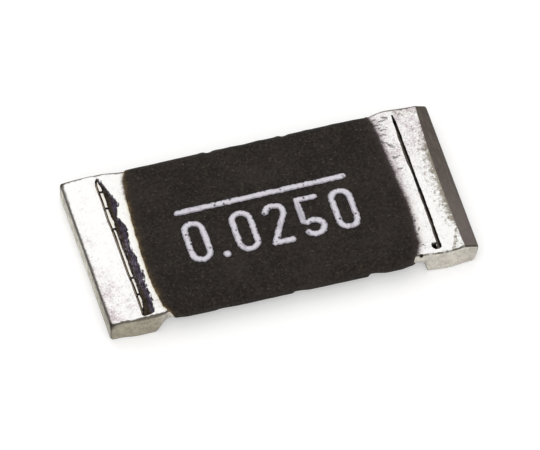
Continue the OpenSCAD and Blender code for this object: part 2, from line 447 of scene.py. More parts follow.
def past_coat(x, y, side):
    """Distance beyond an end of the coating, and 0 under it."""
    return np.clip(side * (x - coat_edge_x(y, side)), 0.0, None)


def bevel_fold(y):
    """Where the bevel of the right terminal begins."""
    bow = RIGHT_SLOPE_BOW * (1.0 - (y / HALF_WIDTH) ** 2)
    return RIGHT_END - RIGHT_SLOPE_RUN + RIGHT_SLOPE_LEAN * y - bow


def metal_top(x, y):
    """Height of the bright metal and its marks, over the whole strip."""
    fold = bevel_fold(y)
    left_slope = np.clip((LEFT_END + LEFT_SLOPE_RUN - x) / LEFT_SLOPE_RUN, 0.0, 1.0)
    right_slope = np.clip((x - fold) / (RIGHT_END - fold), 0.0, 1.0)
    upset = UPSET_RISE * bell(x - UPSET_PLACE, UPSET_REACH) * ramp(y, 1.1, HALF_WIDTH)
    drop = np.maximum.reduce([
        rounding_drop(HALF_WIDTH - np.abs(y), STRIP_EDGE),
        rounding_drop(x - LEFT_END, LEFT_TOP_EDGE),
        rounding_drop(RIGHT_END - x, RIGHT_TOP_EDGE),
    ])
    left_relief, tear, crack, far, on_sliver = left_seam_marks(x, y)
    right_relief, slit = right_seam_marks(x, y)
    pits = np.maximum(pit_marks(x, y), comma_marks(x, y))
    bare = sum(ramp(side * (x - coat_edge_x(y, side)), -0.02, 0.0) for side in (-1, 1))
    grain = GRAIN_RISE * waves(x, y, 0.05, 31) * bare
    height = THICKNESS - LEFT_SLOPE_DROP * left_slope - RIGHT_SLOPE_DROP * right_slope - drop + upset
    height = height + left_relief + right_relief - MARK_DEPTH * pits + grain
    film = np.exp(-past_coat(x, y, -1) / FILM_REACH)
    marks = {
        "tear": tear,
        "far": far,
        # Painted glints: the band of the torn metal that gets light streaks
        "glint_band": ramp(y, 0.35, 0.05) * ramp(y, -1.15, -0.85),
        "slit": np.maximum(crack, slit),
        "edge": edge_shade_line(x, y),
        "pit": pits,
        "mottle": mottling(x, y),
        "bevel": ramp(x, fold - 0.006, fold + 0.006),
        "grime": bevel_grime(x, y, fold),
        "smear": coat_smear(x, y),
        "lip_shade": coat_shade_on_lip(x, y),
        "film": np.maximum(0.3 * on_sliver, film * (x < 0.0)),
    }
    return height, marks


def edge_shade_line(x, y):
    """Painted shade: a dark ragged line along the rounded top edges, from 0 to 1 and up to 2 at the
    left-hand corners.
    """
    left_line = np.where(y < 0.0, *LEFT_EDGE_SHADE)
    right_line = np.where(y < 0.0, *RIGHT_EDGE_SHADE)
    width = np.where(x < 0.0, left_line, right_line)
    to_corner = np.hypot(x - LEFT_END, HALF_WIDTH - np.abs(y))
    ragged = 0.012 * waves(x, y, 0.05, 81) + 0.009 * waves(x, y, 0.14, 82)
    ragged = ragged + 0.03 * np.exp(-to_corner / 0.06)
    long_edges = ramp(HALF_WIDTH - np.abs(y), width * 1.25 + ragged, width * 0.75 + ragged)
    by_coat = ramp(x, -COAT_END - 0.06, -COAT_END + 0.06) * ramp(x, 0.0, -1.0) * (y < 0.0)
    long_edges = long_edges * (1.0 - 0.15 * by_coat)
    left_end = ramp(x - LEFT_END, 0.056 + 0.6 * ragged, 0.032 + 0.6 * ragged)
    left_end = left_end * (0.90 + 0.10 * waves(x, y, 0.09, 83))
    return np.maximum(long_edges, left_end) * (1.0 + bell(to_corner, 0.10))


def mottling(x, y):
    """How strongly the plating is clouded, from 0 to 1."""
    left_edge = 0.28 * np.exp(-(x - LEFT_END) / 0.22) * (0.55 + 0.45 * ramp(y, 0.9, -0.9))
    left_front = 0.17 * ramp(y, 0.2, -1.5) * (x < 0.0)
    right_back = (0.05 + 0.26 * ramp(y, -0.6, 1.1)) * ramp(x, RIGHT_WELD, RIGHT_WELD + 0.05)
    on_lip = ramp(x, 1.9, 2.0) * ramp(x, RIGHT_WELD, RIGHT_WELD - 0.06)
    by_coat = np.exp(-past_coat(x, y, 1) / 0.10)
    lip = (0.10 + 0.13 * ramp(y, -0.9, 0.4) + 0.22 * by_coat * ramp(y, -0.4, 0.8)) * on_lip
    return np.clip(0.16 + left_edge + left_front + right_back + lip, 0.0, 1.0)


def bevel_grime(x, y, fold):
    """Brownish clumps by the bevel and the back edge, and a slanting band by the front corner."""
    near = np.exp(-np.clip(fold - x, 0.0, None) / 0.15) * ramp(x, RIGHT_WELD + 0.08, RIGHT_WELD + 0.2)
    along = 0.45 + 0.55 * ramp(y, 1.2, 0.6) * ramp(y, -1.20, -0.95)
    along = along * ramp(y, -1.45, -1.05)
    band_x = BAND_X + BAND_SLOPE * (y - BAND_Y)
    at_front = ramp(y, -0.95, -1.12)
    band = 0.70 * ramp(np.abs(x - band_x), 0.055, 0.015) * at_front
    corner = 0.42 * ramp(x, band_x, band_x + 0.03) * at_front
    at_back = 0.36 * ramp(y, 1.22, 1.50) * ramp(x, RIGHT_WELD, RIGHT_WELD + 0.05)
    return np.clip(np.maximum.reduce([near * along, band, corner, at_back]), 0.0, 1.0)


def coat_smear(x, y):
    """Thin traces of the coating on the metal beside its ends."""
    reach = LEFT_SMEAR_REACH + 0.046 * ramp(y, 0.8, 1.2)
    left = np.exp(-past_coat(x, y, -1) / reach) * (x < 0.0)
    right = np.exp(-past_coat(x, y, 1) / RIGHT_SMEAR_REACH) * (x > 0.0)
    return left + right


def coat_shade_on_lip(x, y):
    """Painted shade, greyish, on the right-hand lip beside the coating, wider and fainter at the back.
    """
    reach = LIP_SHADE_REACH + 0.019 * ramp(y, -0.8, 0.6)
    return bell(past_coat(x, y, 1), reach) * (1.0 - 0.45 * ramp(y, 0.2, 0.9)) * (x > 0.0)


# The strip of metal

def right_end_rise(x):
    """Height of the underside at the right end, which turns up and then leans out."""
    from_end = RIGHT_END - x
    turn = math.atan2(RIGHT_LEAN_HEIGHT, RIGHT_END_LEAN)
    start = RIGHT_END_LEAN + RIGHT_BOTTOM_EDGE * math.tan(turn / 2.0)
    inside = np.clip(start - from_end, 0.0, RIGHT_BOTTOM_EDGE * math.sin(turn))
    curved = RIGHT_BOTTOM_EDGE - np.sqrt(RIGHT_BOTTOM_EDGE ** 2 - inside ** 2)
    leaning = RIGHT_LEAN_HEIGHT * (1.0 - from_end / RIGHT_END_LEAN)
    return np.maximum(curved, leaning)


def strip_bottom(x, y):
    """Height of the underside, with the milled pocket between the feet."""
    left_wall = LEFT_WELD + LEFT_FOOT
    right_wall = RIGHT_WELD - RIGHT_FOOT
    pocket = np.minimum((x - left_wall) / LEFT_WALL_RUN, (right_wall - x) / RIGHT_WALL_RUN)
    pocket = NECK_Z * ramp(pocket, -0.12, 1.12)
    from_corner = (x - LEFT_END + HALF_WIDTH - np.abs(y)) / math.sqrt(2.0)
    return pocket + np.maximum.reduce([
        rounding_drop(HALF_WIDTH - np.abs(y), STRIP_EDGE),
        rounding_drop(x - LEFT_END, LEFT_BOTTOM_EDGE),
        rounding_drop(from_corner, LEFT_BOTTOM_CORNER),
        right_end_rise(x),
    ])


def round_corners(x, y):
    """Pulls the grid's outer corners in to the rounded corners of the strip."""
    corner_x = RIGHT_END - STRIP_CORNER
    corner_y = HALF_WIDTH - STRIP_CORNER
    over_x = np.maximum(np.abs(x) - corner_x, 0.0)
    over_y = np.maximum(np.abs(y) - corner_y, 0.0)
    reach = np.maximum(np.hypot(over_x, over_y), 1e-9)
    shrink = np.where(reach > 1e-8, np.maximum(over_x, over_y) / reach, 1.0)
    new_x = np.sign(x) * (np.abs(x) - over_x + over_x * shrink)
    new_y = np.sign(y) * (np.abs(y) - over_y + over_y * shrink)
    return new_x, new_y


def bend_to_seams(x, y):
    """Moves the grid lines near each weld on to the slightly wavy seam."""
    moved = x
    for seam, weld, reach in ((LEFT_SEAM, LEFT_WELD, 0.45), (RIGHT_SEAM, RIGHT_WELD, 0.35)):
        moved = moved + (follow(y, seam) - weld) * ramp(np.abs(x - weld), reach, 0.05)
    return moved


def front_edge_y(x):
    return -HALF_WIDTH - curve(x, FRONT_EDGE)


def back_edge_y(x):
    return HALF_WIDTH + curve(x, BACK_EDGE)


def bend_to_edges(x, y):
    """Moves the grid rows near the long edges on to the slightly wavy edges."""
    reach = ramp(np.abs(y), HALF_WIDTH - EDGE_FLOW, HALF_WIDTH)
    shift = np.where(y < 0.0, front_edge_y(x) + HALF_WIDTH, back_edge_y(x) - HALF_WIDTH)
    return y + shift * reach


ROW_STEP = 0.016
FINE_ROW_STEP = 0.009
SEAM_STEP = 0.008
SURFACE_STEP = 0.02
END_STEP = 0.006
HIDDEN_STEP = 0.12

SLOT_END = HALF_WIDTH - SLOT_BRIDGE
ROWS = merged(
    rounding_lines(-HALF_WIDTH, 1.0, STRIP_EDGE),
    span(STRIP_EDGE - HALF_WIDTH, HOOK_Y + 0.1, FINE_ROW_STEP),
    span(HOOK_Y + 0.1, -SLOT_END, ROW_STEP),
    span(-SLOT_END, SLOT_END, ROW_STEP),
    span(SLOT_END, HALF_WIDTH - STRIP_EDGE, ROW_STEP),
    rounding_lines(HALF_WIDTH, -1.0, STRIP_EDGE),
)


def metal_piece(name, columns, node, material):
    """A part of the strip between two columns of the grid, without the trim slots."""
    x, y = np.meshgrid(columns, ROWS)
    keep = outside_slots((x[:-1, :-1] + x[1:, 1:]) / 2.0, (y[:-1, :-1] + y[1:, 1:]) / 2.0)
    x = bend_to_seams(x, y)
    top, marks = metal_top(x, y)
    bottom = strip_bottom(x, y)
    x, y = round_corners(x, y)
    points, faces = plate(x, bend_to_edges(x, y), top, bottom, keep)
    both = {mark: np.pad(values.ravel(), (0, x.size)) for mark, values in marks.items()}
    make_piece(name, points, faces, node, material, both)


def left_terminal(material):
    columns = merged(
        rounding_lines(LEFT_END, 1.0, LEFT_BOTTOM_EDGE, 9),
        rounding_lines(LEFT_END, 1.0, LEFT_TOP_EDGE, 6),
        span(LEFT_END + LEFT_BOTTOM_EDGE, LEFT_WELD - 0.08, SURFACE_STEP),
        span(LEFT_WELD - 0.08, LEFT_WELD, SEAM_STEP / 2.0),
    )
    metal_piece("left_terminal_plated", columns, "left_terminal", material)


def right_terminal(material):
    columns = merged(
        span(RIGHT_WELD, RIGHT_WELD + 0.08, SEAM_STEP / 2.0),
        span(RIGHT_WELD + 0.08, RIGHT_END - RIGHT_END_LEAN, SURFACE_STEP * 0.6),
        span(RIGHT_END - RIGHT_END_LEAN, RIGHT_END, END_STEP),
        rounding_lines(RIGHT_END, -1.0, RIGHT_TOP_EDGE, 8),
    )
    metal_piece("right_terminal_plated", columns, "right_terminal", material)


def slots():
    """Middle of each trim slot and the side it is cut from, -1 for the front."""
    first = -(SLOT_COUNT - 1) / 2.0 * SLOT_PITCH
    return [(first + i * SLOT_PITCH, -1 if i % 2 == 0 else 1) for i in range(SLOT_COUNT)]


def outside_slots(x, y):
    """True for grid cells that lie in no trim slot."""
    keep = np.ones(x.shape, bool)
    for middle, side in slots():
        in_slot = (np.abs(x - middle) < SLOT_WIDTH / 2.0) & (y * side > -SLOT_END)
        keep &= ~in_slot
    return keep


def element(material):
    lip = 0.52
    slot_edges = [middle + side * SLOT_WIDTH / 2.0 for middle, _ in slots() for side in (-1.0, 1.0)]
    columns = merged(
        span(LEFT_WELD, LEFT_WELD + 0.04, SEAM_STEP / 2.0),
        span(LEFT_WELD + 0.04, LEFT_WELD + 0.30, SEAM_STEP),
        span(LEFT_WELD + 0.30, LEFT_WELD + lip, SURFACE_STEP),
        span(LEFT_WELD + lip, RIGHT_WELD - lip, HIDDEN_STEP),
        np.array(slot_edges),
        span(RIGHT_WELD - lip, RIGHT_WELD - 0.36, SURFACE_STEP),
        span(RIGHT_WELD - 0.36, RIGHT_WELD - 0.05, SEAM_STEP * 1.25),
        span(RIGHT_WELD - 0.05, RIGHT_WELD, SEAM_STEP / 2.0),
    )
    metal_piece("element_plated_ends", columns, "resistive_element", material)


# The coating

def arc(centre, radius, start, stop, steps=14):
    """Points of an arc, with its angles in degrees."""
    angles = np.radians(np.linspace(start, stop, steps))
    return [(centre[0] + radius * math.cos(a), centre[1] + radius * math.sin(a)) for a in angles]


def quarter(centre_y, centre_z, radius, start):
    """Points of a clockwise quarter turn from an angle in degrees, without the last one."""
    return arc((centre_y, centre_z), radius, start, start - 90.0, 13)[:-1]


def section_loop():
    """Outer section of the coating as (y, z), clockwise from the front of its top."""
    top_reach = COAT_HALF_WIDTH - COAT_TOP_EDGE
    low_reach = COAT_HALF_WIDTH - COAT_LOW_EDGE
    upper = COAT_TOP - COAT_TOP_EDGE
    lower = COAT_BOTTOM + COAT_LOW_EDGE
    top = [(y, COAT_TOP) for y in span(-top_reach, top_reach, COAT_STEP)[:-1]]
    bottom = [(y, COAT_BOTTOM) for y in span(low_reach, -low_reach, 2.0 * COAT_STEP)[:-1]]
    back = quarter(top_reach, upper, COAT_TOP_EDGE, 90.0) + [(COAT_HALF_WIDTH, upper)]
    back = back + quarter(low_reach, lower, COAT_LOW_EDGE, 0.0)
    front = quarter(-low_reach, lower, COAT_LOW_EDGE, 270.0) + [(-COAT_HALF_WIDTH, lower)]
    front = front + quarter(-top_reach, upper, COAT_TOP_EDGE, 180.0)
    return np.array(top + back + bottom + front)


def side_pull(x, side):
    """How far a long edge of the coating is pulled in along the chip."""
    depths, run = (FRONT_DIPS, FRONT_DIP_RUN) if side < 0 else (BACK_DIPS, BACK_DIP_RUN)
    base = 0.004 if side < 0 else 0.012
    pull = base * (1.0 + 0.5 * line_waves(x, 0.31, 41 + side) + 0.4 * line_waves(x, 0.12, 51 + side))
    mouths = [middle for middle, slot_side in slots() if slot_side == side]
    for middle, depth in zip(mouths, depths):
        offset = x - middle
        pull = pull + depth * ramp(offset, -0.06, 0.01) * ramp(offset, run, 0.04)
        if side > 0:
            pull = pull - BACK_BUMP * bell(offset + 0.07, 0.05)
    return np.maximum(pull, 0.001)


def slot_sinks(x, y):
    """Faint sinks in the top of the coating over the slots."""
    sink = np.zeros_like(x)
    for middle, side in slots():
        over = ramp(np.abs(x - middle), 0.12, 0.02)
        sink = sink + over * ramp(y * side, -SLOT_END - 0.1, -SLOT_END + 0.1)
    return COAT_SINK * sink


def coating(material):
    """A closed shell: out along the section from rim to rim and back inside it."""
    loop_y, loop_z = section_loop().T
    under = np.clip((THICKNESS - loop_z) / (THICKNESS - COAT_BOTTOM), 0.0, 1.0)
    left_rim = coat_edge_x(loop_y, -1) + COAT_LEFT_UNDERCUT * under
    right_rim = coat_edge_x(loop_y, 1) - COAT_RIGHT_UNDERCUT * under
    near = COAT_FEATHER * np.linspace(0.0, 1.0, COAT_RIM_RINGS) ** 2
    middle = np.linspace(0.0, 1.0, COAT_MIDDLE_RINGS)[1:-1, None]
    x = np.concatenate([
        left_rim + near[:, None],
        (left_rim + COAT_FEATHER) * (1.0 - middle) + (right_rim - COAT_FEATHER) * middle,
        right_rim - near[::-1, None],
    ])
    y = np.broadcast_to(loop_y, x.shape)
    z = np.broadcast_to(loop_z, x.shape)
    bed_y = np.clip(y, front_edge_y(x), back_edge_y(x))
    bed_z = np.clip(z, NECK_Z, THICKNESS)
    beside = ramp(np.abs(y), COAT_HALF_WIDTH - 0.25, COAT_HALF_WIDTH - 0.05)
    y = y - np.sign(y) * beside * np.where(y < 0.0, side_pull(x, -1), side_pull(x, 1))
    z = z - (0.0015 + 0.0015 * waves(x, y, 0.16, 61) + slot_sinks(x, y)) * (z > THICKNESS)
    from_rim = np.minimum(x - left_rim, right_rim - x)
    lip = np.sqrt(1.0 - (1.0 - np.clip(from_rim / COAT_LIP, 0.0, 1.0)) ** 2)
    swell = COAT_LIP_SHARE * lip + (1.0 - COAT_LIP_SHARE) * ramp(from_rim, 0.0, COAT_FEATHER)
    y = bed_y + (y - bed_y) * swell
    z = bed_z + (z - bed_z) * swell

    inner_x = np.stack([right_rim - COAT_TUCK, left_rim + COAT_TUCK])
    inner_half = HALF_WIDTH - 0.06
    inner_y = np.broadcast_to(np.clip(loop_y, -inner_half, inner_half), inner_x.shape)
    inner_z = np.broadcast_to(np.clip(loop_z, NECK_Z, THICKNESS), inner_x.shape)
    outer = np.stack([x, y, z], -1)
    inner = np.stack([inner_x, inner_y, inner_z], -1)
    rings = np.concatenate([outer, inner])
    index = np.arange(rings.shape[0] * rings.shape[1]).reshape(rings.shape[:2])
    onward = np.roll(index, -1, axis=0)
    faces = np.stack([index, onward, np.roll(onward, -1, axis=1), np.roll(index, -1, axis=1)], -1)
    rim = np.exp(-(x - left_rim) / RIM_REACH).ravel()
    blush = np.exp(-(right_rim - x) / BLUSH_REACH).ravel()
    points, faces = add_slot_fill(rings.reshape(-1, 3), faces.reshape(-1, 4))
    points, faces = add_drop(points, faces)
    hidden = (0, len(points) - len(rim))
    marks = {"rim": np.pad(rim, hidden), "blush": np.pad(blush, hidden)}
    make_piece("coating_shell", points, faces, "coating", material, marks)


def add_slot_fill(points, faces):
    """Adds the coating that fills each trim slot, as closed blocks."""
    overlap = 0.01
    inset = 0.06
    for middle, side in slots():
        y_low, y_high = sorted((-side * SLOT_END, side * (HALF_WIDTH - inset)))
        x, y = np.meshgrid([middle - SLOT_WIDTH / 2.0, middle + SLOT_WIDTH / 2.0], [y_low, y_high])
        block, block_faces = plate(x, y, THICKNESS + overlap, NECK_Z - overlap)
        faces = np.concatenate([faces, block_faces + len(points)])
        points = np.concatenate([points, block])
    return points, faces


def add_drop(points, faces):
    """Adds a small closed drop of coating on the front edge of the strip."""
    count = 17
    turns = np.linspace(0.0, 2.0 * math.pi, count)[:-1]
    tilt, turn = np.meshgrid(np.linspace(0.0, math.pi, count), turns)
    ball = np.stack([np.sin(tilt) * np.cos(turn), np.sin(tilt) * np.sin(turn), np.cos(tilt)], -1)
    index = np.arange(ball.shape[0] * count).reshape(-1, count)
    onward = np.roll(index, -1, axis=0)
    quads = np.stack([index[:, :-1], index[:, 1:], onward[:, 1:], onward[:, :-1]], -1).reshape(-1, 4)
    drop = np.array(DROP_CENTRE) + ball.reshape(-1, 3) * np.array(DROP_REACH)
    return np.concatenate([points, drop]), np.concatenate([faces, quads + len(points)])


# The print

def digit_path(value):
    """Middle line of a digit about its own centre."""
    reach = (DIGIT_WIDTH - INK_STROKE) / 2.0
    rise = (DIGIT_HEIGHT - INK_STROKE) / 2.0
    upper = (0.0, rise - reach)
    lower = (0.0, reach - rise)
    if value == 0:
        return arc(upper, reach, 0, 180) + arc(lower, reach, 180, 360) + [(reach, rise - reach)]
    if value == 2:
        return arc(upper, reach, 165, -35) + [(-reach, -rise), (reach, -rise)]
    stem = [(reach, rise), (-reach, rise), (-reach, 2.0 * reach - rise)]
    return stem + arc(lower, reach, 130, -150)


def print_paths():
    """Every stroke of the print as (points, half width), about the middle of the digits."""
    length = (len(DIGITS) - 1) * DIGIT_PITCH + POINT_ROOM
    paths = []
    for i, value in enumerate(DIGITS):
        shift = -length / 2.0 + i * DIGIT_PITCH + (POINT_ROOM if i > POINT_AFTER else 0.0)
        paths.append(([(x + shift, y) for x, y in digit_path(value)], INK_STROKE / 2.0))
    point_x = -length / 2.0 + POINT_AFTER * DIGIT_PITCH + (DIGIT_PITCH + POINT_ROOM) / 2.0
    base = (INK_STROKE - DIGIT_HEIGHT) / 2.0
    paths.append(([(point_x, base), (point_x + 0.001, base)], POINT_RADIUS))
    bar_y = DIGIT_HEIGHT / 2.0 + BAR_GAP + INK_STROKE / 2.0
    bar_reach = (BAR_LENGTH - INK_STROKE) / 2.0
    paths.append(([(-bar_reach, bar_y), (bar_reach, bar_y)], INK_STROKE / 2.0))
    return paths


def ink_distance(x, y):
    """Distance from the ragged outline of the print, negative inside a stroke."""
    nearest = np.full(x.shape, 9.0)
    for path, half in print_paths():
        for (x0, y0), (x1, y1) in zip(path[:-1], path[1:]):
            run_x, run_y = x1 - x0, y1 - y0
            share = ((x - x0) * run_x + (y - y0) * run_y) / (run_x * run_x + run_y * run_y)
            share = np.clip(share, 0.0, 1.0)
            gap = np.hypot(x - x0 - share * run_x, y - y0 - share * run_y) - half
            nearest = np.minimum(nearest, gap)
    return nearest + 0.009 * waves(x, y, 0.055, 71) + 0.006 * waves(x, y, 0.024, 72)


def corner_sum(grid):
    """Sum of the values at the four corners of each cell."""
    return grid[:-1, :-1] + grid[1:, :-1] + grid[:-1, 1:] + grid[1:, 1:]


def marking(material):
    step = 0.010
    margin = 0.05
    half_length = BAR_LENGTH / 2.0 + margin
    lowest = -DIGIT_HEIGHT / 2.0 - margin
    highest = DIGIT_HEIGHT / 2.0 + BAR_GAP + INK_STROKE + margin
    x, y = np.meshgrid(span(-half_length, half_length, step), span(lowest, highest, step))
    inside = ink_distance(x, y)
    keep = corner_sum(inside) < 0.0
    slope_y, slope_x = np.gradient(inside, step)
    kept = corner_sum(np.pad(keep, 1).astype(int))
    rim = (kept > 0) & (kept < 4)
    x = np.where(rim, x - np.clip(inside, -step, step) * slope_x * 0.8, x)
    y = np.where(rim, y - np.clip(inside, -step, step) * slope_y * 0.8, y)
    crown = ramp(-inside, -0.004, 0.012)
    top = COAT_TOP + INK_RIM + INK_SWELL * crown
    bed = COAT_TOP - INK_BED
    print_x, print_y = turned(x, y, -PRINT_TURN)
    points, faces = plate(print_x + PRINT_CENTRE[0], print_y + PRINT_CENTRE[1], top, bed, keep)
    body = ramp(-inside, 0.0, 0.035).ravel()
    marks = {"body": np.tile(body, 2)}
    make_piece("value_print", points, faces, "value_marking", material, marks)


# Materials

class Nodes:
    """A short way to write the nodes of one material, with sizes in millimetres."""

    def __init__(self, name):
        self.material = bpy.data.materials.new(name)
        self.material.use_nodes = True
        self.tree = self.material.node_tree
        self.shader = self.tree.nodes["Principled BSDF"]
        self.place = self.add("ShaderNodeTexCoord").outputs
        inputs = {0: self.place["Object"], "Scale": 1.0 / MM}
        self.millimetres = self.add("ShaderNodeVectorMath", inputs, operation="SCALE").outputs[0]

    def add(self, kind, inputs=None, **settings):
        """A new node with its settings, its inputs linked or set."""
        node = self.tree.nodes.new(kind)
        for name, value in settings.items():
            setattr(node, name, value)
        self.fill(node, inputs or {})
        return node

    def fill(self, node, inputs):
        """Links or sets some inputs of a node."""
        for name, value in inputs.items():
            self.put(node.inputs[name], value)

    def put(self, socket, value):
        """Links a socket, or sets it where the value is a plain number or colour."""
        if isinstance(value, bpy.types.NodeSocket):
            self.tree.links.new(value, socket)
        elif isinstance(value, tuple):
            socket.default_value = (*value, 1.0)
        else:
            socket.default_value = value

    def noise(self, size, detail=2.0, roughness=0.55, stretch=None):
        where = self.millimetres
        if stretch is not None:
            pulled = self.add("ShaderNodeVectorMath", {0: where}, operation="MULTIPLY")
            pulled.inputs[1].default_value = stretch
            where = pulled.outputs[0]
        inputs = {"Vector": where, "Scale": 1.0 / size, "Detail": detail, "Roughness": roughness}
        return self.add("ShaderNodeTexNoise", inputs).outputs["Fac"]

    def cells(self, size):
        inputs = {"Vector": self.millimetres, "Scale": 1.0 / size}
        return self.add("ShaderNodeTexVoronoi", inputs).outputs["Distance"]

    def mark(self, name):
        return self.add("ShaderNodeAttribute", attribute_name=name).outputs["Fac"]

    def split(self, vector):
        """X, Y and Z of a vector."""
        return self.add("ShaderNodeSeparateXYZ", {0: vector}).outputs

    def ramp(self, value, low, high, start=0.0, stop=1.0):
        """A smooth change from start to stop while a value goes from low to high."""
        inputs = {"Value": value, "From Min": low, "From Max": high, "To Min": start, "To Max": stop}
        return self.add("ShaderNodeMapRange", inputs, interpolation_type="SMOOTHSTEP").outputs["Result"]

    def math(self, operation, first, second=0.0, third=0.0):
        inputs = {0: first, 1: second, 2: third}
        return self.add("ShaderNodeMath", inputs, operation=operation).outputs[0]

    def times(self, *factors):
        """Product of several values."""
        product = factors[0]
        for factor in factors[1:]:
            product = self.math("MULTIPLY", product, factor)
        return product

    def jitter(self, value, noise, amount):
        """A value pushed up and down by a noise about its middle."""
        return self.math("MULTIPLY_ADD", self.math("SUBTRACT", noise, 0.5), amount, value)

    def mix(self, share, first, second):
        node = self.add("ShaderNodeMix", {"Factor": share}, data_type="RGBA")
        colours = [socket for socket in node.inputs if socket.type == "RGBA"]
        self.put(colours[0], first)
        self.put(colours[1], second)
        return next(socket for socket in node.outputs if socket.type == "RGBA")

    def bump(self, height, depth):
        """Bump of a depth in millimetres."""
        node = self.add("ShaderNodeBump", {"Distance": depth * MM, "Height": height})
        self.fill(self.shader, {"Normal": node.outputs["Normal"]})


